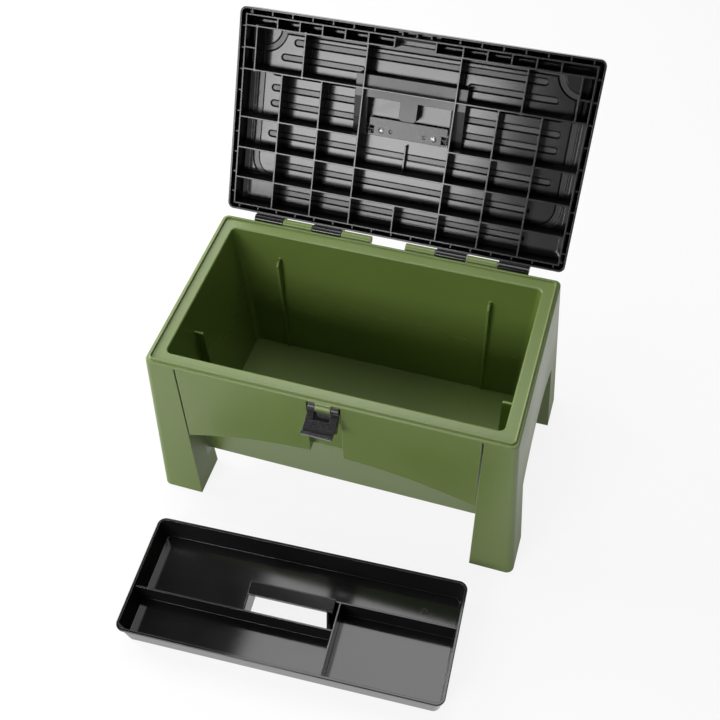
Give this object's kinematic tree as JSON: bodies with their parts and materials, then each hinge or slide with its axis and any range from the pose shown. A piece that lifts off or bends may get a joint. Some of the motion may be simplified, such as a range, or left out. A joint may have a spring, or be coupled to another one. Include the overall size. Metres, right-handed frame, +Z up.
{
  "type": "storage stool",
  "caption": "Moulded storage stool with a hinged ribbed lid, folding carry handle, front latch and a lift-out compartment tray, shown open with the tray in front.",
  "frame": {"origin": "on the floor under the middle of the tub", "axes": "+X along the stool, +Y to the hinge side at the back, +Z up"},
  "size_m": [0.5, 0.6771, 0.4964],
  "materials": {
    "green_plastic": "satin",
    "black_plastic": "semi-gloss",
    "steel": "bright"
  },
  "bodies": {
    "tub_body": {"tub": "green_plastic", "hinge_pin_left": "steel", "hinge_pin_right": "steel", "latch_pin": "steel"},
    "lid_body": {"lid": "black_plastic", "handle_retainer": "black_plastic", "retainer_screws": "steel"},
    "handle_body": {"carry_handle": "black_plastic"},
    "latch_body": {"latch": "black_plastic"},
    "tray_body": {"tray": "black_plastic"}
  },
  "joints": [
    {"name": "lid_hinge", "type": "hinge", "parent": "tub_body", "child": "lid_body", "pos_m": [0, 0.138, 0.2635], "axis": [1, 0, 0], "range_deg": [0, 119.7]},
    {"name": "handle_fold", "type": "hinge", "parent": "lid_body", "child": "handle_body", "pos_m": [0, 0.23293, 0.3711], "axis": [-1, 0, 0], "range_deg": [0, 90]},
    {"name": "latch_pivot", "type": "hinge", "parent": "tub_body", "child": "latch_body", "pos_m": [0, -0.1305, 0.2555], "axis": [-1, 0, 0], "range_deg": [0, 113]},
    {"name": "tray_lift", "type": "slide", "parent": "tub_body", "child": "tray_body", "axis": [0, 0, 1], "range_m": [0, 0.3]}
  ]
}
